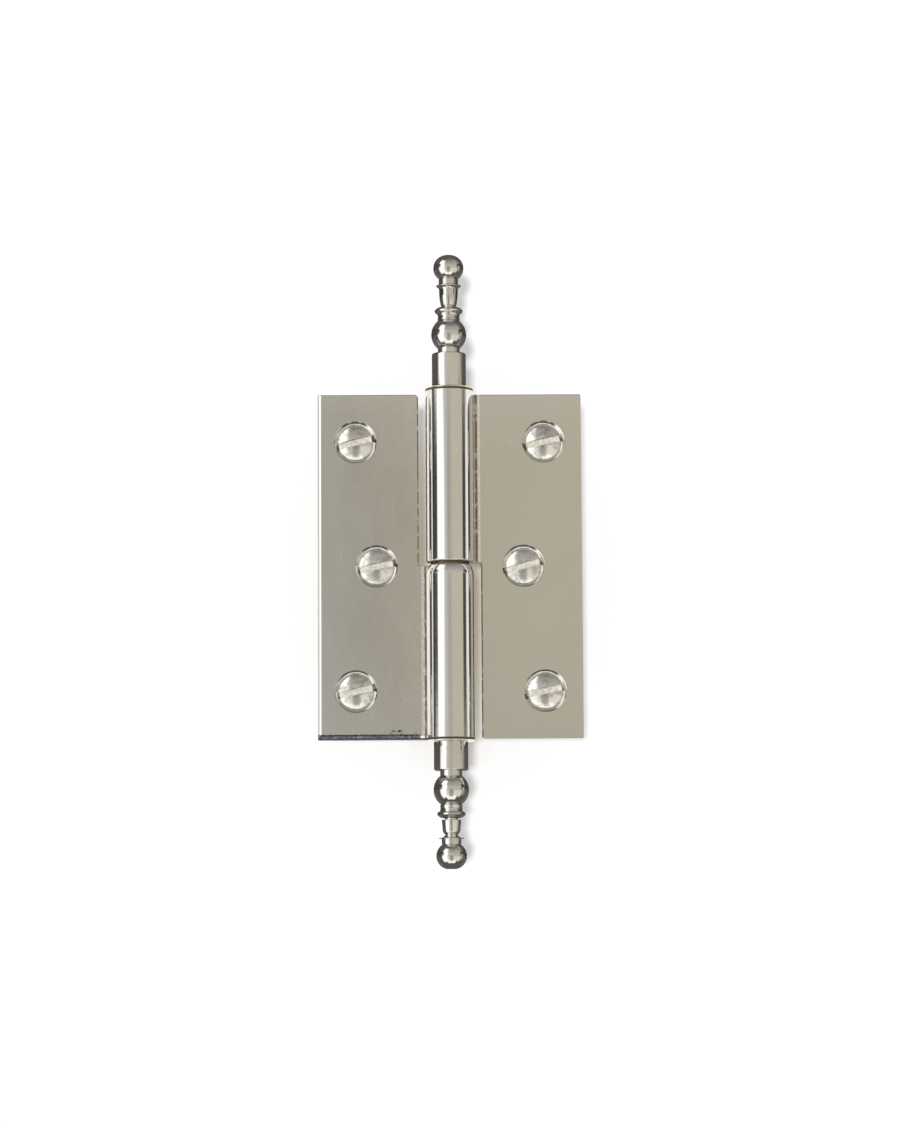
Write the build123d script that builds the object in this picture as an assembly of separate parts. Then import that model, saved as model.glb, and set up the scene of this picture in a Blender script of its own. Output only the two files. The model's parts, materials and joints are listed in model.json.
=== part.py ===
"""Lift-off cabinet hinge with turned finials, laid open flat.

The pin runs along +Z through the origin, which lies in the seam between the two knuckles.
The leaves' countersunk faces look towards -Y. The fixed leaf is on the -X side and carries
the lower knuckle and the pin; the lifting leaf is on the +X side and carries the upper knuckle.
All sizes are in millimetres.
"""
import os

from build123d import *

# Leaves
LEAF_HEIGHT = 65.0
LEAF_WIDTH = 24.8  # from the pin's axis to the outer edge
LEAF_THICKNESS = 2.4
LEAF_DROP = 0.35  # how far the leaves' middle lies below the seam
FACE_SET_BACK = 0.5  # from the pin's axis back to the countersunk face
CUT_BACK_GAP = 1.35  # between a leaf and the other leaf's knuckle
FACE_CORNER_ROUND = 0.1  # corners of the flat inside the polished rim
CUT_BACK_CORNER_ROUND = 0.5  # the same, at the free end of the cut-back edge
NOTCH_ROUND = 0.7
RIM_ROUND = 0.2  # edge of the lifting leaf's countersunk face
BEVEL_WIDTH = 0.65  # polished-down outer and lower edges of the fixed leaf
BEVEL_DEPTH = 0.33
FRONT_ROOT_ROUND = 0.5  # hollow between leaf and knuckle on the face side
BACK_ROOT_ROUND = 0.6

# Knuckles
KNUCKLE_DIAMETER = 9.0
KNUCKLE_OVERHANG = 0.8  # past the end of a leaf that has no drop
KNUCKLE_END_ROUND = 0.25
UPPER_SEAM_INSET = 0.2  # each knuckle narrows by its inset towards the seam
UPPER_SEAM_EASE = 0.3  # over this height
LOWER_SEAM_INSET = 0.55
LOWER_SEAM_EASE = 1.9

# Pin and washer
PIN_DIAMETER = 5.0
PIN_TIP_TAPER = 0.8
PIN_END_GAP = 2.3  # between each end of the pin and the finial's tenon beyond it
RUNNING_GAP = 0.05
PRESS_GAP = 0.01
WASHER_INSET = 0.95  # behind the knuckles' surface
WASHER_THICKNESS = 0.6

# Finials, from the knuckle outwards
TENON_LENGTH = 7.0
TENON_CHAMFER = 0.4
SHANK_DIAMETER = 6.4
TOP_SHANK_LENGTH = 6.55
BOTTOM_SHANK_LENGTH = 5.4
SHANK_ROUND = 0.3
SHANK_NECK_DIAMETER = 4.1
SHANK_NECK_LENGTH = 1.0
BALL_DIAMETER = 6.6
BALL_LENGTH = 5.4
BALL_OUTER_DIAMETER = 3.6  # where the ball ends against its spool
SPOOL_DIAMETER = 4.25
SPOOL_WAIST_DIAMETER = 4.05
SPOOL_LENGTH = 1.2
DISC_DIAMETER = 5.3
DISC_BELLY_DIAMETER = 5.15  # half way up its rounded inner side
DISC_SLOPE_DIAMETER = 4.7  # half way up its rounded outer side
DISC_INNER_THICKNESS = 0.6
DISC_OUTER_THICKNESS = 0.65
URN_NECK_DIAMETER = 2.35
URN_NECK_LENGTH = 0.3
FLANGE_DIAMETER = 4.7
FLANGE_RIM = 0.12
FLANGE_SLOPE_LENGTH = 0.2
TIP_COLLAR_DIAMETER = 3.65
TIP_COLLAR_LENGTH = 1.0
TIP_BALL_INNER_DIAMETER = 3.2  # where the ball starts on its collar
TIP_BALL_DIAMETER = 5.7
TIP_BALL_INNER_LENGTH = 2.2  # from its collar to its girth
TIP_BALL_OUTER_LENGTH = 2.4  # from there to the tip
TIP_FLAT_DIAMETER = 2.0  # where it was parted off

# Urn of the top finial, which opens into the flange
TOP_URN_FOOT_DIAMETER = 2.9
TOP_URN_BELLY_DIAMETER = 3.4  # half way up
TOP_URN_DIAMETER = 3.55
TOP_URN_LENGTH = 3.1
TOP_FLARE_DIAMETER = 3.8  # half way up the hollow under the flange
TOP_FLARE_LENGTH = 0.6

# Urn of the bottom finial, which stands on the flange as on a foot
BOTTOM_URN_LIP_DIAMETER = 3.6
BOTTOM_URN_LIP_THICKNESS = 0.2
BOTTOM_URN_DIAMETER = 3.25
BOTTOM_URN_LENGTH = 1.85
BOTTOM_BOWL_DIAMETER = 3.0  # half way down the rounded bottom
BOTTOM_BOWL_LENGTH = 0.7
BOTTOM_FOOT_NECK_DIAMETER = 2.2
BOTTOM_FOOT_DIAMETER = 2.75  # half way down the hollow slope of the foot
BOTTOM_FOOT_LENGTH = 0.65

# Screws and their holes
OUTER_HOLE_END_MARGIN = 9.0  # from the leaf's top and bottom edges
OUTER_HOLE_SIDE_MARGIN = 7.1  # from the leaf's outer edge
MIDDLE_HOLE_STAGGER = 3.9  # how much nearer the middle hole is to the pin
COUNTERSINK_DIAMETER = 8.0
HOLE_GAP = 0.25  # around the screw's plain shank
HEAD_DIAMETER = 6.7
HEAD_RAISE = 0.95  # crown above the head's edge
HEAD_SEAT_GAP = 0.03
SLOT_WIDTH = 1.2
SLOT_DEPTH = 1.15
SCREW_LENGTH = 19.0  # from the head's edge to the point
SCREW_DIAMETER = 3.5
SCREW_CORE_DIAMETER = 2.5
PLAIN_SHANK_LENGTH = 5.5  # from the head's edge to the threaded stretch
SHANK_STEP_LENGTH = 0.6
POINT_LENGTH = 3.6
FIXED_SLOT_ANGLES = {"top": 14, "middle": 12, "bottom": 13}
LIFT_SLOT_ANGLES = {"top": 13, "middle": 15, "bottom": 12}

# Places that several pieces share
KNUCKLE_RADIUS = KNUCKLE_DIAMETER / 2
SEAM = WASHER_THICKNESS / 2  # height of each knuckle's inner end
KNUCKLE_END = LEAF_HEIGHT / 2 + KNUCKLE_OVERHANG
TENON_END = KNUCKLE_END - TENON_LENGTH
PIN_END = TENON_END - PIN_END_GAP
CUT_BACK = KNUCKLE_RADIUS + CUT_BACK_GAP
LEAF_BACK = FACE_SET_BACK + LEAF_THICKNESS
PRESS_BORE = PIN_DIAMETER / 2 + PRESS_GAP
RUNNING_BORE = PIN_DIAMETER / 2 + RUNNING_GAP
OUTER_HOLE_REACH = LEAF_WIDTH - OUTER_HOLE_SIDE_MARGIN
MIDDLE_HOLE_REACH = OUTER_HOLE_REACH - MIDDLE_HOLE_STAGGER
HEAD_SINK = (COUNTERSINK_DIAMETER - HEAD_DIAMETER) / 2 - HEAD_SEAT_GAP


class Turning:
    """Half section of a lathe-turned piece, drawn outwards along its axis."""

    def __init__(self, z, radius):
        self.z = z
        self.radius = radius
        self.edges = [Line((0, z), (radius, z))]

    def to(self, radius, length=0.0):
        """Straight cut: a cylinder, a taper or, with no length, a shoulder."""
        start, end = (self.radius, self.z), (radius, self.z + length)
        if start != end:
            self.edges.append(Line(start, end))
        self.radius, self.z = end
        return self

    def swell(self, middle_radius, length, end_radius):
        """Round cut through its middle: a bead if that is wider, a hollow if narrower."""
        middle = (middle_radius, self.z + length / 2)
        end = (end_radius, self.z + length)
        self.edges.append(ThreePointArc((self.radius, self.z), middle, end))
        self.radius, self.z = end
        return self

    def round_over(self, size):
        """Quarter round that turns a cylinder into a shoulder."""
        return self.close_in(self.radius - size, size)

    def swell_out(self, girth_radius, length):
        """Rounded cut outwards, as on the inner half of a ball, which ends level with the axis at its girth."""
        end = (girth_radius, self.z + length)
        self.edges.append(TangentArc(end, (self.radius, self.z), tangent=(0, -1)))
        self.radius, self.z = end
        return self

    def close_in(self, end_radius, length):
        """Rounded cut inwards, as on the outer half of a ball, which starts level with the axis."""
        end = (end_radius, self.z + length)
        self.edges.append(TangentArc((self.radius, self.z), end, tangent=(0, 1)))
        self.radius, self.z = end
        return self

    def solid(self):
        edges = list(self.edges)
        start = edges[0] @ 0
        if self.radius > 0:
            edges.append(Line((self.radius, self.z), (0, self.z)))
        edges.append(Line((0, self.z), start))
        section = make_face(edges)
        return revolve(Plane.XZ * section, axis=Axis.Z)


def rod(radius, low, high):
    return Turning(low, radius).to(radius, high - low).solid()


def knuckle(seam_inset, seam_ease):
    """Barrel of one leaf, standing above the seam, not yet bored."""
    barrel = Turning(SEAM, KNUCKLE_RADIUS - seam_inset)
    barrel.swell_out(KNUCKLE_RADIUS, seam_ease)
    barrel.to(KNUCKLE_RADIUS, KNUCKLE_END - SEAM - seam_ease - KNUCKLE_END_ROUND)
    barrel.round_over(KNUCKLE_END_ROUND)
    return barrel.solid()


def leaf_plate(low, high, bevelled):
    """Flat of a leaf on the +X side: whole above the seam, cut back beside the other knuckle below it."""
    outline = make_face(
        Polyline(
            (0, high),
            (LEAF_WIDTH, high),
            (LEAF_WIDTH, low),
            (CUT_BACK, low),
            (CUT_BACK, SEAM),
            (0, SEAM),
            (0, high),
        )
    )
    corner_rounds = {
        (CUT_BACK, low): CUT_BACK_CORNER_ROUND + RIM_ROUND,
        (CUT_BACK, SEAM): NOTCH_ROUND,
    }
    if not bevelled:
        corner_rounds[LEAF_WIDTH, high] = FACE_CORNER_ROUND + RIM_ROUND
        corner_rounds[LEAF_WIDTH, low] = FACE_CORNER_ROUND + RIM_ROUND
    for corner, size in corner_rounds.items():
        outline = fillet(outline.vertices().sort_by_distance(corner)[0], size)
    plate = extrude(Plane.XZ.offset(-LEAF_BACK) * outline, LEAF_THICKNESS)
    front = plate.faces().sort_by(Axis.Y)[0]
    outer_edge = front.edges().sort_by(Axis.X)[-1]
    if not bevelled:
        return fillet(outer_edge, RIM_ROUND)
    end_edge = front.edges().sort_by(Axis.Z)[-1]
    return chamfer([outer_edge, end_edge], BEVEL_WIDTH, BEVEL_DEPTH, reference=front)


def root_fillet(face_y, side, size, low, high):
    """Hollow corner between a leaf's surface at face_y and its knuckle; side is -1 in front, +1 behind."""
    centre_y = face_y + side * size
    reach = KNUCKLE_RADIUS + size
    centre_x = (reach**2 - centre_y**2) ** 0.5
    touch = Vector(centre_x, centre_y) * (KNUCKLE_RADIUS / reach)
    corner = make_face(Polyline((0, face_y), (centre_x, face_y), (centre_x, centre_y), touch, (0, face_y)))
    web = corner - Pos(centre_x, centre_y) * Circle(size)
    return extrude(Pos(0, 0, low) * web, high - low)


def countersunk_hole():
    """Cutter for one screw hole, its axis along +Z from the leaf's face inwards."""
    sink_radius = COUNTERSINK_DIAMETER / 2
    hole_radius = SCREW_DIAMETER / 2 + HOLE_GAP
    cutter = Turning(-1.0, sink_radius + 1.0)
    cutter.to(hole_radius, sink_radius + 1.0 - hole_radius)
    cutter.to(hole_radius, 2 * LEAF_THICKNESS)
    return cutter.solid()


def screw_places(side, leaf_middle):
    """Where the three screws of a leaf start on its face; side is -1 for the fixed leaf, +1 for the other."""
    half = LEAF_HEIGHT / 2 - OUTER_HOLE_END_MARGIN
    spots = {
        "top": (OUTER_HOLE_REACH, half),
        "middle": (MIDDLE_HOLE_REACH, 0.0),
        "bottom": (OUTER_HOLE_REACH, -half),
    }
    return {
        name: Pos(side * reach, FACE_SET_BACK, leaf_middle + height) * Rot(X=-90)
        for name, (reach, height) in spots.items()
    }


def leaf(leaf_middle, bevelled, seam_inset, seam_ease, bore_radius):
    """Leaf on the +X side with its knuckle above the seam."""
    low, high = leaf_middle - LEAF_HEIGHT / 2, leaf_middle + LEAF_HEIGHT / 2
    body = leaf_plate(low, high, bevelled) + knuckle(seam_inset, seam_ease)
    root_end = high - (BEVEL_WIDTH if bevelled else RIM_ROUND)
    body += root_fillet(FACE_SET_BACK, -1, FRONT_ROOT_ROUND, SEAM + RIM_ROUND, root_end)
    body += root_fillet(LEAF_BACK, 1, BACK_ROOT_ROUND, SEAM, high)
    body -= rod(bore_radius, SEAM - 1, KNUCKLE_END + 1)
    for place in screw_places(1, leaf_middle).values():
        body -= place * countersunk_hole()
    return body


def screw(slot_angle):
    """Slotted raised countersunk wood screw, driven along +Z from the leaf's face, its thread left plain."""
    head_radius, shank_radius, core_radius = HEAD_DIAMETER / 2, SCREW_DIAMETER / 2, SCREW_CORE_DIAMETER / 2
    head_depth = head_radius - shank_radius
    crown = HEAD_SINK - HEAD_RAISE
    blank = Turning(HEAD_SINK, head_radius)
    blank.to(shank_radius, head_depth)
    blank.to(shank_radius, PLAIN_SHANK_LENGTH - head_depth)
    blank.to(core_radius, SHANK_STEP_LENGTH)
    blank.to(core_radius, SCREW_LENGTH - PLAIN_SHANK_LENGTH - SHANK_STEP_LENGTH - POINT_LENGTH)
    blank.to(0.0, POINT_LENGTH)
    dome_radius = (head_radius**2 + HEAD_RAISE**2) / (2 * HEAD_RAISE)
    dome = Pos(0, 0, crown + dome_radius) * Sphere(dome_radius)
    dome &= Pos(0, 0, HEAD_SINK - HEAD_RAISE / 2) * Box(HEAD_DIAMETER, HEAD_DIAMETER, HEAD_RAISE)
    slot = Pos(0, 0, crown + SLOT_DEPTH / 2) * Box(2 * HEAD_DIAMETER, SLOT_WIDTH, SLOT_DEPTH)
    slot = Rot(Z=-slot_angle) * slot
    return blank.solid() + dome - slot


def finial_stem(shank_length, bore_radius):
    """Inner part of a finial: its tenon in the knuckle, then shank, ball, spool, disc and the urn's neck."""
    tenon_radius = bore_radius - PRESS_GAP
    stem = Turning(TENON_END, tenon_radius - TENON_CHAMFER)
    stem.to(tenon_radius, TENON_CHAMFER)
    stem.to(tenon_radius, TENON_LENGTH - TENON_CHAMFER)
    stem.to(SHANK_DIAMETER / 2)
    stem.to(SHANK_DIAMETER / 2, shank_length - SHANK_ROUND)
    stem.round_over(SHANK_ROUND)
    stem.to(SHANK_NECK_DIAMETER / 2)
    stem.to(SHANK_NECK_DIAMETER / 2, SHANK_NECK_LENGTH)
    stem.swell(BALL_DIAMETER / 2, BALL_LENGTH, BALL_OUTER_DIAMETER / 2)
    stem.to(SPOOL_DIAMETER / 2)
    stem.swell(SPOOL_WAIST_DIAMETER / 2, SPOOL_LENGTH, SPOOL_DIAMETER / 2)
    stem.swell(DISC_BELLY_DIAMETER / 2, DISC_INNER_THICKNESS, DISC_DIAMETER / 2)
    stem.swell(DISC_SLOPE_DIAMETER / 2, DISC_OUTER_THICKNESS, URN_NECK_DIAMETER / 2)
    stem.to(URN_NECK_DIAMETER / 2, URN_NECK_LENGTH)
    return stem


def finial_tip(stem):
    """Outer part of a finial: its collar and end ball."""
    stem.to(TIP_COLLAR_DIAMETER / 2)
    stem.to(TIP_COLLAR_DIAMETER / 2, TIP_COLLAR_LENGTH)
    stem.to(TIP_BALL_INNER_DIAMETER / 2)
    stem.swell_out(TIP_BALL_DIAMETER / 2, TIP_BALL_INNER_LENGTH)
    stem.close_in(TIP_FLAT_DIAMETER / 2, TIP_BALL_OUTER_LENGTH)
    return stem.solid()


def top_finial():
    """Finial on the upper knuckle; its urn widens upwards into the flange."""
    piece = finial_stem(TOP_SHANK_LENGTH, RUNNING_BORE)
    piece.to(TOP_URN_FOOT_DIAMETER / 2)
    piece.swell(TOP_URN_BELLY_DIAMETER / 2, TOP_URN_LENGTH, TOP_URN_DIAMETER / 2)
    piece.swell(TOP_FLARE_DIAMETER / 2, TOP_FLARE_LENGTH, FLANGE_DIAMETER / 2)
    piece.to(FLANGE_DIAMETER / 2, FLANGE_RIM)
    piece.to(TIP_COLLAR_DIAMETER / 2, FLANGE_SLOPE_LENGTH)
    return finial_tip(piece)


def bottom_finial():
    """Finial under the lower knuckle, drawn standing up: a lipped urn on a flared foot."""
    piece = finial_stem(BOTTOM_SHANK_LENGTH, PRESS_BORE)
    piece.to(BOTTOM_URN_LIP_DIAMETER / 2)
    piece.to(BOTTOM_URN_LIP_DIAMETER / 2, BOTTOM_URN_LIP_THICKNESS)
    piece.to(BOTTOM_URN_DIAMETER / 2, BOTTOM_URN_LENGTH)
    piece.swell(BOTTOM_BOWL_DIAMETER / 2, BOTTOM_BOWL_LENGTH, BOTTOM_FOOT_NECK_DIAMETER / 2)
    piece.swell(BOTTOM_FOOT_DIAMETER / 2, BOTTOM_FOOT_LENGTH, FLANGE_DIAMETER / 2)
    piece.to(FLANGE_DIAMETER / 2, FLANGE_RIM)
    return finial_tip(piece)


def hinge_pin():
    """Plain pin, pressed into the lower knuckle and tapered where it enters the upper one."""
    radius = PIN_DIAMETER / 2
    pin = Turning(-PIN_END, radius)
    pin.to(radius, 2 * PIN_END - PIN_TIP_TAPER)
    pin.to(radius - PIN_TIP_TAPER, PIN_TIP_TAPER)
    return pin.solid()


def thrust_washer():
    washer = rod(KNUCKLE_RADIUS - WASHER_INSET, -SEAM, SEAM)
    return washer - rod(RUNNING_BORE, -SEAM - 1, SEAM + 1)


def hinge():
    """Every piece of the hinge, by name."""
    turned_over = Rot(Y=180)
    fixed_leaf = leaf(LEAF_DROP, True, LOWER_SEAM_INSET, LOWER_SEAM_EASE, PRESS_BORE)
    pieces = {
        "fixed_leaf": turned_over * fixed_leaf,
        "lift_leaf": leaf(-LEAF_DROP, False, UPPER_SEAM_INSET, UPPER_SEAM_EASE, RUNNING_BORE),
        "hinge_pin": hinge_pin(),
        "thrust_washer": thrust_washer(),
        "top_finial": top_finial(),
        "bottom_finial": turned_over * bottom_finial(),
    }
    screwed = (("fixed_leaf", -1, FIXED_SLOT_ANGLES), ("lift_leaf", 1, LIFT_SLOT_ANGLES))
    for leaf_name, side, angles in screwed:
        for spot, place in screw_places(side, -LEAF_DROP).items():
            pieces[f"{leaf_name}_screw_{spot}"] = place * screw(angles[spot])
    return pieces


os.makedirs("parts", exist_ok=True)
for name, piece in hinge().items():
    export_step(piece, f"parts/{name}.step")
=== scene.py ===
"""Looks of the lift-off cabinet hinge: polished nickel leaves, turned finials and threaded screws.

Everything is in metres, in the hinge's own frame: +Z up the pin, faces towards -Y.
"""

import json
import math

import bmesh
import bpy
from mathutils import Matrix, Vector

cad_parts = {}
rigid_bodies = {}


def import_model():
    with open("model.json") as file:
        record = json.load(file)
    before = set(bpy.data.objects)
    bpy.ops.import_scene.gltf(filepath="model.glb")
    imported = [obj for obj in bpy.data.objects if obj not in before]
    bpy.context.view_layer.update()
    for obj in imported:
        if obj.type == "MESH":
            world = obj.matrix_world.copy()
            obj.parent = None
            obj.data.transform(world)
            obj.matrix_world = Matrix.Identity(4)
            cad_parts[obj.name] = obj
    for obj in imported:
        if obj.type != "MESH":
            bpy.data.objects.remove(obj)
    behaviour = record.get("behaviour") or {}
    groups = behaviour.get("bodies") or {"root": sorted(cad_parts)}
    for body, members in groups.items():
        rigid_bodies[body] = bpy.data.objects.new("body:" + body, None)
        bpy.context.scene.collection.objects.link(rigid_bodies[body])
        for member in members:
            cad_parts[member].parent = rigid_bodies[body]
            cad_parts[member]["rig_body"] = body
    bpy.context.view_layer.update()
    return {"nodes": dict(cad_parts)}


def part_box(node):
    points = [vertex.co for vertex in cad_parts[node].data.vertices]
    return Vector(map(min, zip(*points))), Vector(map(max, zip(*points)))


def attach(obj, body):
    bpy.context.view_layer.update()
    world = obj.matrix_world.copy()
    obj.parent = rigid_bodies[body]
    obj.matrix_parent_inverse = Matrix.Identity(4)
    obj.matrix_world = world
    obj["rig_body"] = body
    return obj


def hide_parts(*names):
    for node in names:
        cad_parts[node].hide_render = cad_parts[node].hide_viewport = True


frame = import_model()

MM = 0.001
DEGREES = 180 / math.pi  # in a radian
PHOTO_HEIGHT = 1125  # pixels

# Camera, fitted to the photograph
CAMERA_DISTANCE = 650 * MM
CAMERA_ELEVATION = -6.2  # degrees
CAMERA_AZIMUTH = -0.36
CAMERA_ROLL = -0.33
CAMERA_TARGET = Vector((0.0, 0.0, 0.26 * MM))
CAMERA_SCALE = 0.1874 * MM  # size of a pixel at the pin
CAMERA_CLIP = (0.01, 10.0)

# Meshes
WELD_DISTANCE = 1e-7
FLAT_ANGLE = math.radians(0.05)  # faces that meet at less are joined
SHARP_ANGLE = math.radians(20)  # corners and edges that turn by more are eased
TURN_STEPS = 120
EASE_STEPS = 4
EASE_SHARE = 0.4  # of a cut's length, at most
EDGE_ROUND = 0.06 * MM
LEAF_EDGE_ROUND = 0.14 * MM
NORMAL_WEIGHT = 50

# Screws, as the solids have them
HEAD_RAISE = 0.95 * MM
SHANK_RADIUS = 1.75 * MM
CORE_RADIUS = 1.25 * MM
PLAIN_LENGTH = 5.5 * MM
STEP_LENGTH = 0.6 * MM
POINT_LENGTH = 3.6 * MM
SLOT_WIDTH = 1.2 * MM
SLOT_DEPTH = 1.15 * MM
SLOT_ANGLES = {
    "fixed_leaf_screw_top": 14,
    "fixed_leaf_screw_middle": 12,
    "fixed_leaf_screw_bottom": 13,
    "lift_leaf_screw_top": 13,
    "lift_leaf_screw_middle": 15,
    "lift_leaf_screw_bottom": 12,
}
THREAD_START = -PLAIN_LENGTH - STEP_LENGTH  # height, where the head's edge is at 0

# Screw heads and their slots
DOME_STEPS = 14
SLOT_SHARP_ANGLE = math.radians(30)
SLOT_EDGE_ROUND = 0.045 * MM
SLOT_FLOOR, SLOT_WALL = 1, 2  # material slots of a screw, after its main finish
FLOOR_TILT, WALL_TILT = 0.6, -0.1  # least upward share of a face's normal on the floor and the walls

# Screw threads
THREAD_PITCH = 1.4 * MM
THREAD_STEPS = 72
CREST_PLACES = (0.0, 0.09, 0.3, 0.5, 0.7, 0.91)  # from one crest to the next, as shares of the pitch
CREST_HEIGHTS = (1.0, 0.72, 0.0, 0.0, 0.0, 0.72)  # as shares of the thread's depth
THREAD_RISE = 0.8 * THREAD_PITCH  # over which the thread rises below the shank
THREAD_FADE = 0.7 * POINT_LENGTH  # over which it fades towards the point
FADE_POWER = 0.7
POINT_BLUNT = 0.04  # share of the core's radius that is left at the point

# Leaves, for the wear and the painted shade on them
LEAF_HEIGHT = 65 * MM
LEAF_LOW, LEAF_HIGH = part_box("fixed_leaf")
OUTER_EDGE = -LEAF_LOW.x
KNUCKLE_END = -LEAF_LOW.z
KNUCKLE_RADIUS = -LEAF_LOW.y
LEAF_TOP = LEAF_HIGH.z
LEAF_BOTTOM = LEAF_TOP - LEAF_HEIGHT
CUT_BACK = 5.85 * MM
SHANK_END = KNUCKLE_END + 6.0 * MM

# Places of wear and painted shade: heights above the leaf's foot, distances from the pin and along it
# Heights of the painted bevel reflection above the leaf's foot
FOOT_REFLECTION_BAND = (0.15 * MM, 0.95 * MM)
FLECK_BAND = (0.9 * MM, 1.9 * MM)
FLECK_REACH = (13 * MM, 10 * MM)
FRONT_DEPTH = (1.5 * MM, 1.2 * MM)
CORNER_DEPTH = (1.2 * MM, 0.8 * MM)
CUT_EDGE_BAND = (CUT_BACK - 0.1 * MM, CUT_BACK + 0.24 * MM)
SEAM_BAND = (-0.55 * MM, 0.4 * MM)
SEAM_REACH = (6.3 * MM, 6.1 * MM)
# Painted shade just inside the knuckle's outer end
END_SHADE_BAND = (KNUCKLE_END - 0.7 * MM, KNUCKLE_END - 0.28 * MM)
BRASS_HEIGHT = (KNUCKLE_END - 0.26 * MM, KNUCKLE_END - 0.2 * MM)
BRASS_RADIUS = (KNUCKLE_RADIUS - 0.42 * MM, KNUCKLE_RADIUS - 0.3 * MM)

# Tones of the metal, of what lies on it, and of the shade and reflection painted on it
NICKEL_LIGHT = (0.80, 0.785, 0.745, 1)
NICKEL_MID = (0.778, 0.76, 0.715, 1)
NICKEL_DARK = (0.755, 0.735, 0.685, 1)
STREAK = (0.93, 0.93, 0.91, 1)
WHITE = (1, 1, 1, 1)
# Painted shade along the leaves' outer and top edges
RIM_SHADE_GREY = (0.40, 0.395, 0.38, 1)
# Painted dark bluish reflection on the front of the fixed leaf's lower bevel
FOOT_REFLECTION_DEEP = (0.07, 0.078, 0.10, 1)
FOOT_REFLECTION_BLUE = (0.22, 0.25, 0.33, 1)
FLECK = (0.10, 0.10, 0.12, 1)
# Brown of the corner dirt and of the painted shade along the cut-back edge and round the seam
DIRT_AND_SHADE_BROWN = (0.10, 0.072, 0.04, 1)
DUST_PALE = (0.76, 0.69, 0.52, 1)
# Painted shade in a ring just inside the knuckles' outer ends
END_SHADE_BLACK = (0.035, 0.027, 0.02, 1)
BARE_BRASS = (0.85, 0.70, 0.30, 1)
GRIME = (0.28, 0.26, 0.22, 1)
NICK = (0.98, 0.96, 0.90, 1)

# Grain and clouds of the finishes, as noise scales along the three axes
UPRIGHT_GRAIN = (1500.0, 1500.0, 220.0)
SOFT_GRAIN = (700.0, 700.0, 160.0)
TURNED_GRAIN = (120.0, 120.0, 3200.0)
SCREW_GRAIN = (900.0, 900.0, 900.0)
SLOT_GRAIN = (2600.0, 2600.0, 2600.0)
EVEN_CLOUD = (140.0, 140.0, 140.0)
SLOT_CLOUD = (1600.0, 1600.0, 1600.0)
SCRATCH_DIRECTION = (0.64, 0.0, 0.77)
SCRATCH_SPACING = 2.3 * MM

# Wall behind the hinge: half width, heights and softness of its areas, and its tones
WALL_Y = 27 * MM
WALL_HALF = 1.0
GAP_AREA = (8 * MM, (-37 * MM, 40 * MM), (1 * MM, 2 * MM))
HINGE_AREA = (25 * MM, (-34 * MM, 34 * MM), (3 * MM, 3 * MM))
PAPER = (0.88, 0.88, 0.88, 1)
GAP_TONE = (0.66, 0.58, 0.44, 1)
MIRRORED_WALL = (1.0, 0.99, 0.95, 1)
MIRRORED_SHADE = (0.45, 0.43, 0.395, 1)
PAPER_GLOW = 0.6
GLOW_SHARE = 0.2
OCCLUSION_REACH = 70 * MM

# Key light
SUN_ENERGY = 2.0
SUN_ANGLE = math.radians(4.0)
SUN_DIRECTION = Vector((0.058, 1.0, 0.066))

# Room that the metal reflects, in degrees to the right of the hinge's front and above the level
WINDOW = (1.4, 1.4, 1.4, 1)
DARK = (0.058, 0.053, 0.055, 1)
DIM = (0.08, 0.074, 0.074, 1)
CORNER = (0.115, 0.105, 0.105, 1)
CREAM = (0.82, 0.795, 0.71, 1)
FILL_GREY = (0.75, 0.75, 0.75, 1)
NEAR_ZONE = (3.24, 9.07)  # elevations that the leaves' faces and the barrel show
TALL_ZONE = (10.8, 27.0)  # elevations that the lower knuckle's eased top shows
ROOM_PATCHES = (
    ((-65, 65), (-88, -22), 7.0, CORNER),
    ((-74, 70), (-40, -5), 6.0, CREAM),
    ((-42, 42), (-64, -36), 5.0, (1.2, 1.18, 1.12, 1)),
    ((-14, 14), (-44, 1), 6.0, (0.40, 0.39, 0.36, 1)),
    ((-4, 4), (-17, 1), 3.0, (0.26, 0.255, 0.25, 1)),
    ((-76, -33), (-46, 56), 8.0, WINDOW),
)


def show(name, mesh, node, *materials):
    """Puts a finished mesh in the place of a CAD node."""
    piece = bpy.data.objects.new(name, mesh)
    bpy.context.scene.collection.objects.link(piece)
    for material in materials:
        mesh.materials.append(material)
    for polygon in mesh.polygons:
        polygon.use_smooth = True
    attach(piece, frame["nodes"][node]["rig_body"])
    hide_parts(node)
    return piece


def welded(node):
    """The CAD node's mesh with its faces joined along their edges."""
    shape = bmesh.new()
    shape.from_mesh(frame["nodes"][node].data)
    bmesh.ops.remove_doubles(shape, verts=shape.verts[:], dist=WELD_DISTANCE)
    return shape


def mesh_of(shape, name):
    """Turns a finished shape into a mesh."""
    mesh = bpy.data.meshes.new(name)
    shape.to_mesh(mesh)
    shape.free()
    return mesh


def ease_edges(shape, sharp_angle, size):
    """Joins faces that lie in one plane, then rounds each edge that is sharper than the angle."""
    bmesh.ops.dissolve_limit(shape, angle_limit=FLAT_ANGLE, verts=shape.verts[:], edges=shape.edges[:])
    sharp = [e for e in shape.edges if e.is_manifold and e.calc_face_angle(0) > sharp_angle]
    bmesh.ops.bevel(shape, geom=sharp, offset=size, offset_type="OFFSET", segments=2, profile=0.5,
                    affect="EDGES", clamp_overlap=True)


def weighted_normals(piece):
    """Lets the large faces lead the shading, so that flats stay flat beside eased edges."""
    modifier = piece.modifiers.new("face_weights", "WEIGHTED_NORMAL")
    modifier.mode = "FACE_AREA_WITH_ANGLE"
    modifier.weight = NORMAL_WEIGHT


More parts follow.
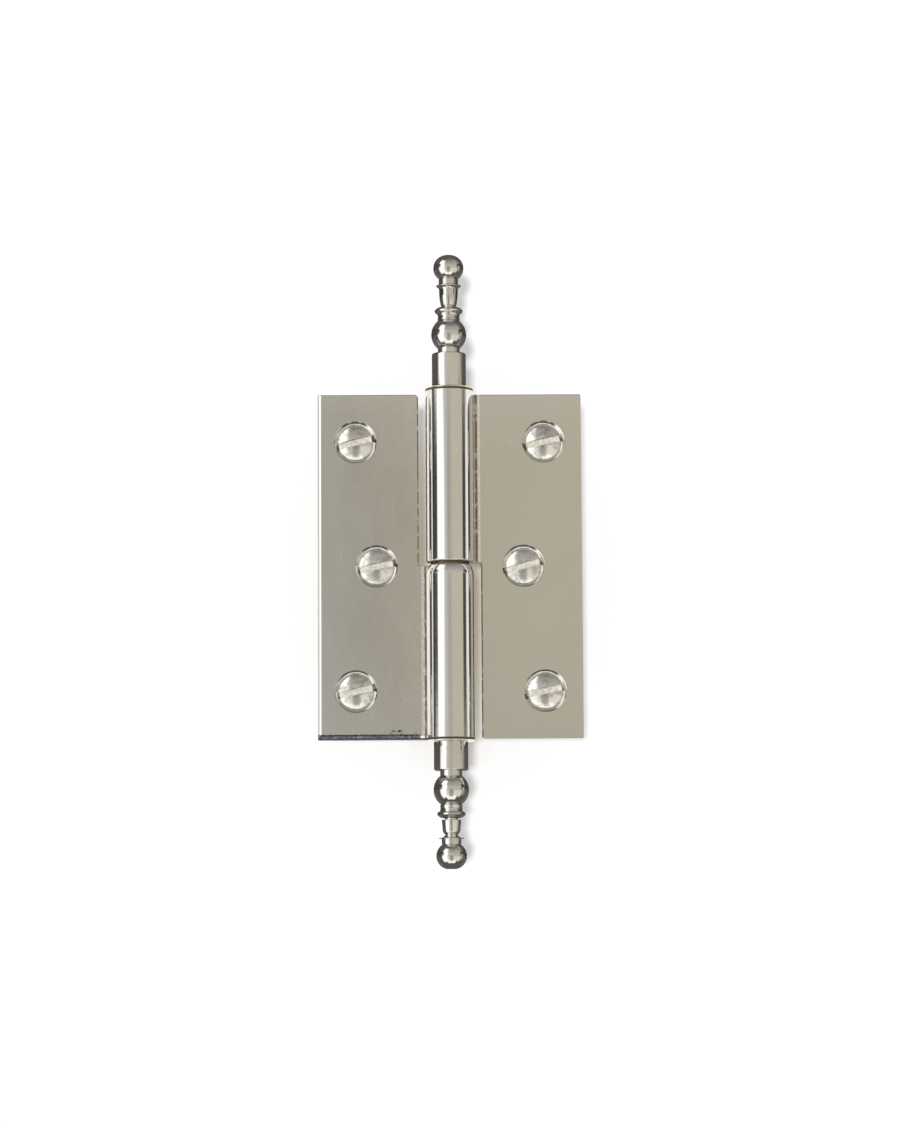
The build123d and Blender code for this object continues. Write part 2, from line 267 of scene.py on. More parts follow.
def half_section(node):
    """Half section of a turned CAD node as (radius, height) points, read along the seam of its surface."""
    shape = welded(node)

    def seam(side):
        on_seam = [v for v in shape.verts if abs(v.co.y) < WELD_DISTANCE and v.co.x * side > 0]
        return {v: [e.other_vert(v) for e in v.link_edges] for v in on_seam}

    links = max(seam(1), seam(-1), key=len)
    start = min(links, key=lambda v: (sum(w in links for w in links[v]), v.co.z))
    path = [start]
    while True:
        onward = [w for w in links[path[-1]] if w in links and w not in path]
        if not onward:
            break
        path.append(onward[0])
    closed = path[0] in links[path[-1]]
    points = [(abs(v.co.x), v.co.z) for v in path]
    shape.free()
    if not closed:
        points = [(0.0, points[0][1])] + points + [(0.0, points[-1][1])]
    return points, closed


def eased(points, closed, size):
    """The section with each sharp corner turned into a small round."""
    out = []
    count = len(points)
    for i, corner in enumerate(points):
        if not closed and i in (0, count - 1):
            out.append(corner)
            continue
        here = Vector(corner)
        back, ahead = Vector(points[i - 1]) - here, Vector(points[(i + 1) % count]) - here
        turn = math.pi - back.angle(ahead)
        if turn < SHARP_ANGLE:
            out.append(corner)
            continue
        reach = min(size * math.tan(turn / 2), EASE_SHARE * back.length, EASE_SHARE * ahead.length)
        first, last = here + back.normalized() * reach, here + ahead.normalized() * reach
        for step in range(EASE_STEPS + 1):
            t = step / EASE_STEPS
            out.append(tuple(first * (1 - t) ** 2 + here * 2 * t * (1 - t) + last * t**2))
    return out


def section_normals(points, closed):
    """Outward direction at each point, led by the longer of the two cuts that meet there."""
    count = len(points)
    normals = []
    for i in range(count):
        total = Vector((0.0, 0.0))
        for a, b in ((i - 1, i), (i, i + 1)):
            if closed or (a >= 0 and b < count):
                cut = Vector(points[b % count]) - Vector(points[a % count])
                total += Vector((cut.y, -cut.x))
        normals.append(total.normalized())
    return normals


def ring_faces(rings, closed, flip):
    """Faces between neighbouring rings of points, where a ring on the axis is a single point."""
    faces = []
    pairs = list(zip(rings, rings[1:])) + ([(rings[-1], rings[0])] if closed else [])
    for low, high in pairs:
        for step in range(TURN_STEPS):
            after = (step + 1) % TURN_STEPS
            corners = [low[step % len(low)], low[after % len(low)]]
            corners += [high[after % len(high)], high[step % len(high)]]
            face = list(dict.fromkeys(corners))
            faces.append(face if flip > 0 else face[::-1])
    return faces


def lathe(name, points, closed=False):
    """Mesh turned from a half section, with exact normals."""
    following = points[1:] + points[:1]
    swept = sum((b[1] - a[1]) * (a[0] + b[0]) for a, b in zip(points, following))
    flip = -1 if swept < 0 else 1
    verts, ups, rings = [], [], []
    for (radius, height), normal in zip(points, section_normals(points, closed)):
        ring = []
        for step in range(TURN_STEPS if radius > 0 else 1):
            angle = 2 * math.pi * step / TURN_STEPS
            ring.append(len(verts))
            verts.append((radius * math.cos(angle), radius * math.sin(angle), height))
            out, up = flip * normal.x, flip * normal.y
            ups.append((out * math.cos(angle), out * math.sin(angle), up))
        rings.append(ring)
    mesh = bpy.data.meshes.new(name)
    mesh.from_pydata(verts, [], ring_faces(rings, closed, flip))
    for polygon in mesh.polygons:
        polygon.use_smooth = True
    mesh.normals_split_custom_set_from_vertices(ups)
    return mesh


def turned(node, name, material):
    """Lathe-turned piece on the CAD node's own section, its sharp corners eased."""
    points, closed = half_section(node)
    return show(name, lathe(name, eased(points, closed, EDGE_ROUND), closed), node, material)


def leaf(node, name, material):
    """Leaf with its knuckle: the CAD shape with its sharp edges eased."""
    shape = welded(node)
    ease_edges(shape, SHARP_ANGLE, LEAF_EDGE_ROUND)
    piece = show(name, mesh_of(shape, name), node, material)
    weighted_normals(piece)
    return piece


def head_section(head_radius, dome):
    """Half section of a screw's plain shank and raised head, whose edge is at height 0."""
    points = [(0.0, THREAD_START), (CORE_RADIUS, THREAD_START), (SHANK_RADIUS, -PLAIN_LENGTH),
              (SHANK_RADIUS, SHANK_RADIUS - head_radius), (head_radius, 0.0)]
    spread = math.asin(head_radius / dome)
    for i in range(1, DOME_STEPS + 1):
        angle = spread * (1 - i / DOME_STEPS)
        points.append((dome * math.sin(angle), HEAD_RAISE - dome + dome * math.cos(angle)))
    return eased(points, False, EDGE_ROUND)


def slot_cutter(head_radius):
    """Block along X that cuts the slot into the crown."""
    block = bmesh.new()
    bmesh.ops.create_cube(block, size=1.0)
    size = Matrix.Diagonal((4 * head_radius, SLOT_WIDTH, 2 * SLOT_DEPTH, 1))
    block.transform(Matrix.Translation((0, 0, HEAD_RAISE)) @ size)
    return mesh_of(block, "slot")


def cut_away(blank_mesh, cutter_mesh):
    """The blank's shape less the cutter's."""
    blank = bpy.data.objects.new("blank", blank_mesh)
    cutter = bpy.data.objects.new("slot", cutter_mesh)
    for thing in (blank, cutter):
        bpy.context.scene.collection.objects.link(thing)
    cut = blank.modifiers.new("slot", "BOOLEAN")
    cut.object = cutter
    cut.solver = "EXACT"
    bpy.context.view_layer.update()
    result = bpy.data.meshes.new_from_object(blank.evaluated_get(bpy.context.evaluated_depsgraph_get()))
    for thing in (blank, cutter):
        bpy.data.objects.remove(thing)
    shape = bmesh.new()
    shape.from_mesh(result)
    bpy.data.meshes.remove(result)
    return shape


def mark_slot(shape, dome):
    """Gives the slot's floor and walls their own material slots."""
    dome_centre = Vector((0, 0, HEAD_RAISE - dome))
    for face in shape.faces:
        middle = face.calc_center_median()
        under_dome = (middle - dome_centre).length < dome - 2 * EDGE_ROUND
        above_floor = middle.z > HEAD_RAISE - SLOT_DEPTH - EDGE_ROUND
        if under_dome and above_floor and face.normal.z > WALL_TILT:
            face.material_index = SLOT_FLOOR if face.normal.z > FLOOR_TILT else SLOT_WALL


def screw_head(head_radius):
    """Raised head and plain shank going down along Z, the slot along X and the head's edge at height 0."""
    dome = (head_radius**2 + HEAD_RAISE**2) / (2 * HEAD_RAISE)
    shape = cut_away(lathe("blank", head_section(head_radius, dome)), slot_cutter(head_radius))
    ease_edges(shape, SLOT_SHARP_ANGLE, SLOT_EDGE_ROUND)
    mark_slot(shape, dome)
    return shape


def thread_radius(depth, to_point, proud):
    """Radius at a depth below the thread's start; proud is 1 on a crest and 0 between crests."""
    core = CORE_RADIUS * min(1.0, POINT_BLUNT + to_point / POINT_LENGTH)
    fade = min(1.0, depth / THREAD_RISE) * min(1.0, (to_point / THREAD_FADE) ** FADE_POWER)
    return core + (SHANK_RADIUS - CORE_RADIUS) * proud * fade


def thread(shape, start, end):
    """Wood-screw thread round the core, from height start down to the point at height end."""
    per_turn = len(CREST_PLACES)
    turns = math.ceil((start - end) / THREAD_PITCH) + 1
    verts = {}

    def corner(row, step):
        row, step = row + per_turn * (step // THREAD_STEPS), step % THREAD_STEPS
        if (row, step) not in verts:
            turn, phase = divmod(row, per_turn)
            depth = (turn - 1 + CREST_PLACES[phase] + step / THREAD_STEPS) * THREAD_PITCH
            depth = min(max(depth, 0.0), start - end)
            radius = thread_radius(depth, start - end - depth, CREST_HEIGHTS[phase])
            angle = 2 * math.pi * step / THREAD_STEPS
            place = (radius * math.cos(angle), radius * math.sin(angle), start - depth)
            verts[row, step] = shape.verts.new(place)
        return verts[row, step]

    for row in range(per_turn * turns):
        for step in range(THREAD_STEPS):
            after = step + 1
            quad = (corner(row, step), corner(row + 1, step), corner(row + 1, after), corner(row, after))
            shape.faces.new(quad)
    bmesh.ops.remove_doubles(shape, verts=shape.verts[:], dist=WELD_DISTANCE)
    bmesh.ops.dissolve_degenerate(shape, edges=shape.edges[:], dist=WELD_DISTANCE)


def wood_screw(node, *finishes):
    """Threaded screw in the place of a CAD one; its slot is turned as that one's is."""
    low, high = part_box(node)
    shape = screw_head((high.x - low.x) / 2)
    thread(shape, THREAD_START, HEAD_RAISE - (high.y - low.y))
    name = node + "_threaded"
    mesh = mesh_of(shape, name)
    piece = show(name, mesh, node, *finishes)
    place = Matrix.Translation(((low.x + high.x) / 2, low.y + HEAD_RAISE, (low.z + high.z) / 2))
    facing = Matrix.Rotation(math.radians(90), 4, "X")
    slot_turn = Matrix.Rotation(math.radians(SLOT_ANGLES[node]), 4, "Z")
    mesh.transform(place @ facing @ slot_turn)
    weighted_normals(piece)
    return piece


class Nodes:
    """Node tree being built; a socket given as an input is linked, anything else is set."""

    def __init__(self, tree):
        self.tree = tree
        tree.nodes.clear()

    def add(self, kind, inputs=(), **settings):
        node = self.tree.nodes.new(kind)
        for key, value in settings.items():
            setattr(node, key, value)
        for key, value in dict(inputs).items():
            if isinstance(value, bpy.types.NodeSocket):
                self.tree.links.new(value, node.inputs[key])
            else:
                node.inputs[key].default_value = value
        return node

    def output(self, kind, surface):
        """Ends the tree with the surface that it shows."""
        self.tree.links.new(surface, self.add(kind).inputs["Surface"])

    def math(self, operation, a, b=0.0):
        return self.add("ShaderNodeMath", {0: a, 1: b}, operation=operation).outputs[0]

    def ramp(self, value, low, high, first, last, interpolation="LINEAR"):
        """From first, at low, to last, at high, and level beyond."""
        inputs = {"Value": value, "From Min": low, "From Max": high, "To Min": first, "To Max": last}
        return self.add("ShaderNodeMapRange", inputs, interpolation_type=interpolation).outputs[0]

    def step(self, value, low, high):
        """0 below low, 1 above high, smooth between; low may be the larger, and then it falls."""
        falls = low > high
        return self.ramp(value, min(low, high), max(low, high), float(falls), float(not falls), "SMOOTHSTEP")

    def band(self, value, low, high, soft):
        """1 from low to high, 0 beyond, with soft ends."""
        rise = self.step(value, low - soft, low + soft)
        return self.math("MULTIPLY", rise, self.step(value, high + soft, high - soft))

    def mix(self, amount, a, b):
        return self.add("ShaderNodeMix", {0: amount, 6: a, 7: b}, data_type="RGBA").outputs[2]

    def mix_shader(self, amount, a, b):
        return self.add("ShaderNodeMixShader", {0: amount, 1: a, 2: b}).outputs[0]

    def noise(self, where, scale, detail=2.0, roughness=0.5):
        inputs = {"Vector": where, "Scale": scale, "Detail": detail, "Roughness": roughness}
        return self.add("ShaderNodeTexNoise", inputs).outputs[0]

    def stretched(self, where, scale):
        return self.add("ShaderNodeMapping", {"Vector": where, "Scale": scale}).outputs[0]

    def scratches(self, where, direction, spacing):
        """Fine lines across a direction, spaced out and broken up so that only a few short ones are left."""
        lengthwise = self.add("ShaderNodeVectorMath", {0: where, 1: direction}, operation="DOT_PRODUCT")
        wander = self.math("MULTIPLY", self.noise(where, 120.0, 1.0), 1.5 * MM)
        place = self.math("ADD", lengthwise.outputs["Value"], wander)
        turn = self.math("FRACT", self.math("DIVIDE", place, spacing))
        line = self.band(turn, 0.485, 0.515, 0.01)
        return self.math("MULTIPLY", line, self.step(self.noise(where, 210.0, 1.0), 0.66, 0.72))


def metal(name, light, dark, roughness, haze, grain, cloud=EVEN_CLOUD, ripple=2e-6, streaks=0.2, wear_and_shade=None,
          scratched=0.0):
    """Polished metal: soft clouds of two tones, haze, fine grain marks, scratches, wear and painted shade."""
    material = bpy.data.materials.new(name)
    material.use_nodes = True
    n = Nodes(material.node_tree)
    where = n.add("ShaderNodeTexCoord").outputs["Object"]
    clouds = n.noise(n.stretched(where, cloud), 1.0, 3.0, 0.55)
    fine = n.noise(n.stretched(where, grain), 1.0, 3.0, 0.6)
    peel = n.noise(where, 900.0, 2.0, 0.5)
    specks = n.step(n.noise(where, 2400.0, 1.0, 0.5), 0.74, 0.79)
    colour = n.mix(n.step(clouds, 0.3, 0.7), dark, light)
    colour = n.mix(n.math("MULTIPLY", n.step(fine, 0.54, 0.74), streaks), colour, STREAK)
    colour = n.mix(n.math("MULTIPLY", specks, 0.8), colour, WHITE)
    gloss = n.ramp(clouds, 0.3, 0.7, roughness - haze, roughness + haze)
    gloss = n.math("ADD", gloss, n.math("MULTIPLY", n.step(fine, 0.55, 0.75), haze))
    if scratched:
        scratch = n.math("MULTIPLY", n.scratches(where, SCRATCH_DIRECTION, SCRATCH_SPACING), scratched)
        colour = n.mix(scratch, colour, WHITE)
        gloss = n.math("ADD", gloss, n.math("MULTIPLY", scratch, 0.3))
    metallic = 1.0
    if wear_and_shade:
        colour, gloss, metallic = wear_and_shade(n, where, colour, gloss)
    height = n.math("ADD", peel, n.math("MULTIPLY", fine, 0.15))
    bump = n.add("ShaderNodeBump", {"Strength": 1.0, "Distance": ripple, "Height": height}).outputs[0]
    inputs = {"Base Color": colour, "Metallic": metallic, "Roughness": gloss, "Normal": bump}
    n.output("ShaderNodeOutputMaterial", n.add("ShaderNodeBsdfPrincipled", inputs).outputs[0])
    return material


class LeafWearAndShade:
    """Dirt, wear and painted shade on a leaf; side is +1 for the lifting one.

    A brown line and pale speckles stay in the corner by the knuckle, between these distances from the
    pin. Painted shade darkens the rims, a line along the cut-back, the knuckle round the seam and a ring
    by the knuckle's outer end, where a little brass shows; a painted dark bluish reflection can lie along
    the front of the leaf's lower bevel.
    """

    def __init__(self, side, brown_at, pale_at, rim_shade_width, brass_share, paints_foot_reflection=False):
        self.side = float(side)
        self.brown_at = brown_at
        self.pale_at = pale_at
        self.rim_shade_width = rim_shade_width
        self.brass_share = brass_share
        self.paints_foot_reflection = paints_foot_reflection

    def __call__(self, n, where, colour, gloss):
        self.n, self.where = n, where
        self.axes = n.add("ShaderNodeSeparateXYZ", {0: where}).outputs
        self.across = n.math("MULTIPLY", self.axes[0], self.side)
        self.along = n.math("MULTIPLY", self.axes[2], self.side)
        uneven = n.math("SUBTRACT", n.noise(where, 1500.0, 3.0), 0.5)
        self.ragged = n.math("MULTIPLY", uneven, 0.2 * MM)
        self.plate = n.step(self.across, CUT_BACK - 0.25 * MM, CUT_BACK - 0.05 * MM)
        # Painted shade darkens the outer and top edges
        colour = n.mix(self.shaded_rims(), colour, RIM_SHADE_GREY)
        # Painted dark reflection along the lower bevel, on the fixed leaf
        if self.paints_foot_reflection:
            colour = self.painted_foot_reflection(colour)
        # Brown dirt in the corner, painted shade along the cut-back and round the seam, pale dried polish
        dirt_and_shade, pale = self.dirt_and_shade(), self.speckles()
        colour = n.mix(pale, n.mix(dirt_and_shade, colour, DIRT_AND_SHADE_BROWN), DUST_PALE)
        # Black ring of painted shade just inside the knuckle's outer end, beside the finial
        ring = n.band(self.along, *END_SHADE_BAND, 0.04 * MM)
        colour = n.mix(ring, colour, END_SHADE_BLACK)
        colour = n.mix(n.math("MULTIPLY", self.knuckle_rim(), self.brass_share), colour, BARE_BRASS)
        # Dirt, painted shade and dried polish take the metal's shine
        stain_and_shade = n.math("MAXIMUM", n.math("MAXIMUM", dirt_and_shade, ring), n.math("MULTIPLY", pale, 0.8))
        gloss = n.math("MAXIMUM", gloss, n.math("MULTIPLY", stain_and_shade, 0.5))
        return colour, gloss, n.math("SUBTRACT", 1.0, stain_and_shade)

    def shaded_rims(self):
        """The leaf's outer and top edges, darkened as painted shade."""
        n = self.n
        outer = n.step(self.across, OUTER_EDGE - self.rim_shade_width, OUTER_EDGE - 0.8 * self.rim_shade_width)
        top = n.step(self.axes[2], LEAF_TOP - 0.14 * MM, LEAF_TOP - 0.08 * MM)
        return n.math("MAXIMUM", outer, n.math("MULTIPLY", top, self.plate))

    def painted_foot_reflection(self, colour):
        """Painted dark bluish reflection on the lower bevel's front; flecks above it near the barrel."""
        n, where = self.n, self.where
        above_foot = n.math("SUBTRACT", self.axes[2], LEAF_BOTTOM)
        height = n.math("ADD", above_foot, n.math("MULTIPLY", self.ragged, 1.5))
        face = n.math("MULTIPLY", self.plate, n.step(self.axes[1], *FRONT_DEPTH))
        mottle = n.step(n.noise(where, 2600.0, 3.0, 0.6), 0.42, 0.66)
        # Painted reflection: the lower bevel's front is made dark and bluish
        dark_reflection = n.math("MULTIPLY", n.band(height, *FOOT_REFLECTION_BAND, 0.05 * MM), face)
        colour = n.mix(dark_reflection, colour, n.mix(mottle, FOOT_REFLECTION_DEEP, FOOT_REFLECTION_BLUE))
        flecks = n.math("MULTIPLY", n.step(n.noise(where, 1500.0, 3.0, 0.6), 0.56, 0.60), face)
        flecks = n.math("MULTIPLY", flecks, n.band(height, *FLECK_BAND, 0.3 * MM))
        flecks = n.math("MULTIPLY", flecks, n.step(self.across, *FLECK_REACH))
        return n.mix(flecks, colour, FLECK)

    def corner(self, distances, soft):
        """A ragged line in the corner between the leaf's face and its own knuckle."""
        n = self.n
        own_half = n.math("MULTIPLY", n.step(self.along, 0.0, 0.6 * MM), n.step(self.axes[1], *CORNER_DEPTH))
        place = n.math("ADD", self.across, self.ragged)
        return n.math("MULTIPLY", n.band(place, *distances, soft), own_half)

    def dirt_and_shade(self):
        """Brown dirt in the corner; painted shade along the cut-back edge and round the seam."""
        n = self.n
        broken = n.step(n.noise(self.where, 700.0, 2.0), 0.25, 0.45)
        line = n.math("MULTIPLY", self.corner(self.brown_at, 0.06 * MM), n.math("MAXIMUM", broken, 0.75))
        other_half = n.step(self.along, 0.0, -0.5 * MM)
        # Painted shade: a dark line along the leaf's cut-back edge
        cut_edge_shade = n.math("MULTIPLY", n.band(self.across, *CUT_EDGE_BAND, 0.04 * MM), other_half)
        # Painted shade on the knuckles round the seam between them
        seam = n.math("MULTIPLY", n.band(self.along, *SEAM_BAND, 0.08 * MM), n.step(self.across, *SEAM_REACH))
        dirt_and_shade = n.math("MAXIMUM", line, n.math("MULTIPLY", cut_edge_shade, broken))
        return n.math("MAXIMUM", dirt_and_shade, n.math("MULTIPLY", seam, 0.8))

    def speckles(self):
        """Pale dried polish beside the brown line."""
        n = self.n
        grains = n.step(n.noise(self.where, 6000.0, 2.0, 0.6), 0.45, 0.62)
        return n.math("MULTIPLY", self.corner(self.pale_at, 0.08 * MM), grains)

    def knuckle_rim(self):
        """Rim of the knuckle's outer end, where the plating is worn."""
        n = self.n
        flat = n.add("ShaderNodeVectorMath", {0: self.where, 1: (1, 1, 0)}, operation="MULTIPLY").outputs[0]
        radius = n.add("ShaderNodeVectorMath", {0: flat}, operation="LENGTH").outputs["Value"]
        return n.math("MULTIPLY", n.step(self.along, *BRASS_HEIGHT), n.step(radius, *BRASS_RADIUS))


def head_grime(n, where, colour, gloss):
    """Dull dark patches and bright nicks on a worn screw."""
    patches = n.step(n.noise(where, 900.0, 3.0, 0.6), 0.50, 0.62)
    nicks = n.step(n.noise(where, 3200.0, 2.0, 0.6), 0.60, 0.68)
    colour = n.mix(n.math("MULTIPLY", patches, 0.45), colour, GRIME)
    colour = n.mix(n.math("MULTIPLY", nicks, 0.5), colour, NICK)
    return colour, n.math("ADD", gloss, n.math("MULTIPLY", patches, 0.14)), 1.0


def slot_dust(n, where, colour, gloss):
    """Pale dust lies in a slot and takes most of its shine."""
    return colour, gloss, 0.2


def shank_polish(n, where, colour, gloss):
    """A finial's shank is polished with the barrel, more brightly than the turned work beyond it."""
    axes = n.add("ShaderNodeSeparateXYZ", {0: where}).outputs
    beyond = n.step(n.math("ABSOLUTE", axes[2]), SHANK_END, SHANK_END + 0.5 * MM)
    return colour, n.math("MULTIPLY", gloss, n.ramp(beyond, 0.0, 1.0, 0.45, 1.0)), 1.0


def wall_area(n, axes, half_width, heights, softness):
    """1 on a stretch of the wall behind the hinge, 0 elsewhere."""
    across = n.band(axes[0], -half_width, half_width, softness[0])
    return n.math("MULTIPLY", across, n.band(axes[2], *heights, softness[1]))


def paper(n, path, tone):
    """Paper lit by the lamps, with a little glow of its own to the camera."""
    seen = n.math("MULTIPLY", path["Is Camera Ray"], GLOW_SHARE)
    lit = n.add("ShaderNodeBsdfDiffuse", {"Color": tone}).outputs[0]
    glow = n.add("ShaderNodeEmission", {"Color": tone, "Strength": PAPER_GLOW}).outputs[0]
    return n.mix_shader(seen, lit, glow)


def wall_material():
    """White wall that keeps the hinge's shadow and shows in the metal; from behind it lets the view through.

    Through the gaps beside the barrel, where the hinge shuts off its light, it is warm and darker.
    """
    material = bpy.data.materials.new("backdrop_white")
    material.use_nodes = True
    material.cycles.emission_sampling = "NONE"
    n = Nodes(material.node_tree)
    path = n.add("ShaderNodeLightPath").outputs
    geometry = n.add("ShaderNodeNewGeometry").outputs
    axes = n.add("ShaderNodeSeparateXYZ", {0: geometry["Position"]}).outputs
    open_sky = n.add("ShaderNodeAmbientOcclusion", {"Distance": OCCLUSION_REACH}, samples=12).outputs["AO"]
    shut_off = n.mix(n.step(open_sky, 0.36, 0.60), GAP_TONE, PAPER)
    front = n.mix_shader(wall_area(n, axes, *GAP_AREA), paper(n, path, PAPER), paper(n, path, shut_off))
    clear = n.add("ShaderNodeBsdfTransparent").outputs[0]
    tone = n.mix(wall_area(n, axes, *HINGE_AREA), MIRRORED_WALL, MIRRORED_SHADE)
    glow = n.add("ShaderNodeEmission", {"Color": tone, "Strength": 1.0}).outputs[0]
    in_metal = n.add("ShaderNodeAddShader", {0: clear, 1: glow}).outputs[0]
    mirrored = n.math("MAXIMUM", path["Is Glossy Ray"], path["Is Transmission Ray"])
    front = n.mix_shader(mirrored, front, in_metal)
    n.output("ShaderNodeOutputMaterial", n.mix_shader(geometry["Backfacing"], front, clear))
    return material


class Room(Nodes):
    """What the metal reflects, by direction in degrees: around from the hinge's front, and above it."""

    def __init__(self, tree):
        super().__init__(tree)
        direction = self.add("ShaderNodeTexCoord").outputs["Generated"]
        axes = self.add("ShaderNodeSeparateXYZ", {0: direction}).outputs
        toward = self.math("MULTIPLY", axes[1], -1.0)
        self.around = self.math("MULTIPLY", self.math("ARCTAN2", axes[0], toward), DEGREES)
        self.above = self.math("MULTIPLY", self.math("ARCSINE", axes[2]), DEGREES)

    def patch(self, turn, azimuths, elevations, soft):
        across = self.band(turn, *azimuths, soft)
        return self.math("MULTIPLY", across, self.band(self.above, *elevations, soft))

    def walls(self):
        """The lit room, warmer towards the right and darker towards the ceiling."""
        tone = self.mix(self.step(self.around, -30.0, 10.0), (0.60, 0.60, 0.59, 1), (0.58, 0.55, 0.47, 1))
        tone = self.mix(self.step(self.above, 12.0, 38.0), tone, (0.42, 0.405, 0.38, 1))
        return self.mix(self.step(self.above, 38.0, 68.0), tone, (0.19, 0.185, 0.19, 1))

    def all_round(self, walls):
        """The view that balls and screw heads show, with pale boards below and the window on the left."""
        in_front = self.step(self.around, 112.0, 66.0)
        lit = self.math("MULTIPLY", in_front, self.band(self.above, -24.0, 120.0, 10.0))
        view = self.mix(lit, CORNER, walls)
        view = self.mix(self.step(self.around, -33.0, -43.0), view, CORNER)
        off_centre = self.math("ABSOLUTE", self.around)
        view = self.mix(self.patch(off_centre, (118, 190), (-42, -6), 6.0), view, (0.15, 0.15, 0.15, 1))
        for azimuths, elevations, soft, tone in ROOM_PATCHES:
            view = self.mix(self.patch(self.around, azimuths, elevations, soft), view, tone)
        return view

    def barred(self, view, right, soft, shade):
        """A view between the window on the left and the dark corners."""
        for azimuths, tone in (((-400, -62), shade), ((-62, -29), WINDOW), ((right, 400), shade)):
            view = self.mix(self.band(self.around, *azimuths, soft), view, tone)
        return view

    def opposite(self):
        """The strip of the room that the leaves' faces and the barrel show."""
        cool = self.mix(self.step(self.above, 4.0, 7.0), (0.50, 0.515, 0.53, 1), (0.43, 0.427, 0.40, 1))
        left = self.mix(self.step(self.around, -2.4, -0.9), cool, (0.38, 0.355, 0.298, 1))
        beige = self.mix(self.step(self.around, -0.5, 0.5), left, (0.535, 0.504, 0.414, 1))
        beige = self.mix(self.step(self.around, 3.0, 12.0), beige, (0.60, 0.568, 0.475, 1))
        strip = self.mix(self.step(self.around, -26.0, -4.0), (0.66, 0.66, 0.66, 1), beige)
        strip = self.barred(strip, 64, 2.5, DARK)
        return self.mix(self.band(self.around, 82.0, 92.0, 1.0), strip, (0.9, 0.9, 0.87, 1))


def studio_world():
    """White to the camera, while the metal sees the room."""
    world = bpy.data.worlds.new("studio")
    bpy.context.scene.world = world
    world.use_nodes = True
    room = Room(world.node_tree)
    path = room.add("ShaderNodeLightPath").outputs
    walls = room.walls()
    tall = room.barred(walls, 70, 8.0, DIM)
    view = room.mix(room.band(room.above, *TALL_ZONE, 0.6), room.all_round(walls), tall)
    view = room.mix(room.band(room.above, *NEAR_ZONE, 0.06), view, room.opposite())
    plain = room.mix(path["Is Glossy Ray"], FILL_GREY, view)
    clear = room.math("MAXIMUM", path["Is Camera Ray"], path["Is Transmission Ray"])
    colour = room.mix(clear, plain, WHITE)
    background = room.add("ShaderNodeBackground", {"Color": colour, "Strength": 1.0})
    room.output("ShaderNodeOutputWorld", background.outputs[0])


def backdrop(seen_in):
    """Wall behind the hinge, which only the pieces given show: the finials and screws mirror the room."""
    corners = [(x * WALL_HALF, WALL_Y, z * WALL_HALF) for x, z in ((-1, -1), (1, -1), (1, 1), (-1, 1))]
    mesh = bpy.data.meshes.new("backdrop")
    mesh.from_pydata(corners, [], [(0, 1, 2, 3)])
    wall = bpy.data.objects.new("backdrop", mesh)
    mesh.materials.append(wall_material())
    bpy.context.scene.collection.objects.link(wall)
    receivers = bpy.data.collections.new("wall_seen_in")
    for piece in seen_in:
        receivers.objects.link(piece)
    wall.light_linking.receiver_collection = receivers


def key_light():
    """Soft sun from the front, a little to the left and below, which the metal doesn't mirror."""
    sun = bpy.data.lights.new("key", "SUN")
    sun.energy = SUN_ENERGY
    sun.angle = SUN_ANGLE
    lamp = bpy.data.objects.new("key", sun)
    lamp.rotation_euler = SUN_DIRECTION.to_track_quat("-Z", "Y").to_euler()
    lamp.visible_glossy = False
    bpy.context.scene.collection.objects.link(lamp)


def camera():
    """Camera at the photograph's viewing angle and scale."""
    data = bpy.data.cameras.new("camera")
    data.lens = data.sensor_width * CAMERA_DISTANCE / CAMERA_SCALE / PHOTO_HEIGHT
    data.clip_start, data.clip_end = CAMERA_CLIP
    eye = bpy.data.objects.new("camera", data)
    azimuth = Matrix.Rotation(math.radians(CAMERA_AZIMUTH), 4, "Z")
    elevation = Matrix.Rotation(math.radians(90 - CAMERA_ELEVATION), 4, "X")
    turn = azimuth @ elevation @ Matrix.Rotation(math.radians(CAMERA_ROLL), 4, "Z")
    eye.matrix_world = Matrix.Translation(CAMERA_TARGET) @ turn @ Matrix.Translation((0, 0, CAMERA_DISTANCE))
    bpy.context.scene.collection.objects.link(eye)
    bpy.context.scene.camera = eye


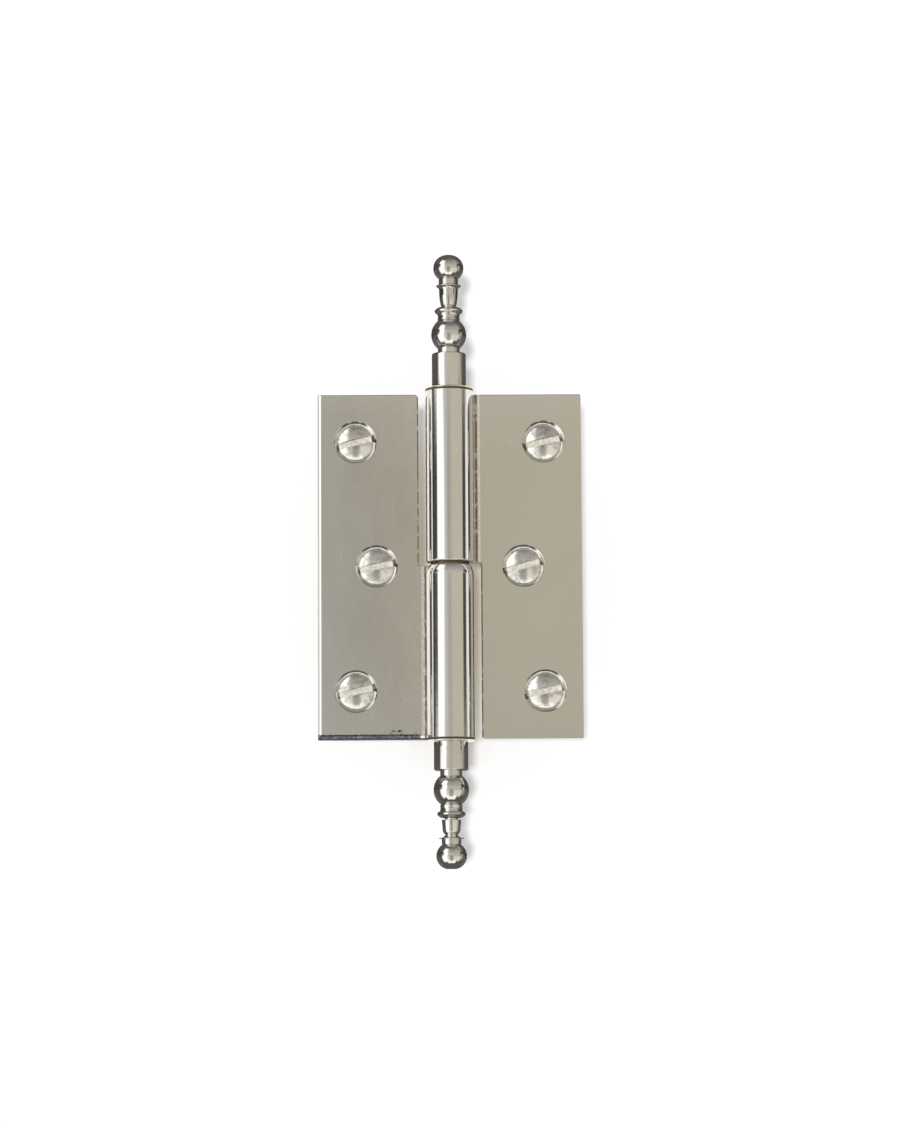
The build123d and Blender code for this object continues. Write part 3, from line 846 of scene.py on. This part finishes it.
# Finishes
fixed_wear_and_shade = LeafWearAndShade(-1, (4.55 * MM, 4.85 * MM), (5.0 * MM, 5.4 * MM), 0.34 * MM, 0.25, paints_foot_reflection=True)
lift_wear_and_shade = LeafWearAndShade(1, (4.75 * MM, 5.25 * MM), (5.35 * MM, 5.75 * MM), 0.08 * MM, 0.9)
leaf_finishes = {
    "fixed_leaf": metal("fixed_leaf_nickel", NICKEL_LIGHT, NICKEL_MID, 0.10, 0.015, UPRIGHT_GRAIN,
                        cloud=(120.0, 120.0, 60.0), ripple=3e-6, streaks=0.14, wear_and_shade=fixed_wear_and_shade,
                        scratched=0.4),
    "lift_leaf": metal("lift_leaf_nickel", NICKEL_LIGHT, NICKEL_MID, 0.09, 0.015, SOFT_GRAIN,
                       cloud=(110.0, 110.0, 80.0), ripple=2e-6, streaks=0.06, wear_and_shade=lift_wear_and_shade),
}
finial_finish = metal("finial_nickel", NICKEL_LIGHT, NICKEL_DARK, 0.09, 0.02, TURNED_GRAIN, wear_and_shade=shank_polish)
screw_finish = metal("screw_nickel_worn", (0.90, 0.885, 0.84, 1), (0.78, 0.765, 0.72, 1), 0.14, 0.04,
                     SCREW_GRAIN, wear_and_shade=head_grime)
# Slot walls: their dark colour is painted shade in the slot
slot_wall_shade_finish = metal("screw_slot_wall_shaded", (0.30, 0.27, 0.22, 1), (0.12, 0.10, 0.08, 1), 0.5, 0.08,
                     SLOT_GRAIN, cloud=SLOT_CLOUD)
slot_finish = metal("screw_slot_worn", (0.86, 0.83, 0.74, 1), (0.60, 0.57, 0.48, 1), 0.42, 0.08,
                    SLOT_GRAIN, cloud=SLOT_CLOUD, wear_and_shade=slot_dust)
# The washer's brass is darkened: painted shade in the seam between the knuckles
shaded_brass_finish = metal("washer_brass_shaded", (0.20, 0.155, 0.085, 1), (0.07, 0.055, 0.035, 1), 0.42, 0.06,
                     TURNED_GRAIN)
steel_finish = metal("pin_steel_ground", (0.60, 0.60, 0.60, 1), (0.50, 0.50, 0.51, 1), 0.2, 0.05,
                     TURNED_GRAIN)

# Pieces
leaves = [leaf(node, node + "_polished", finish) for node, finish in leaf_finishes.items()]
for node in ("top_finial", "bottom_finial"):
    turned(node, node + "_turned", finial_finish)
turned("hinge_pin", "hinge_pin_ground", steel_finish)
turned("thrust_washer", "thrust_washer_turned", shaded_brass_finish)
for node in SLOT_ANGLES:
    wood_screw(node, screw_finish, slot_finish, slot_wall_shade_finish)

# Scene
backdrop(leaves)
key_light()
studio_world()
camera()
bpy.context.scene.view_settings.view_transform = "Standard"
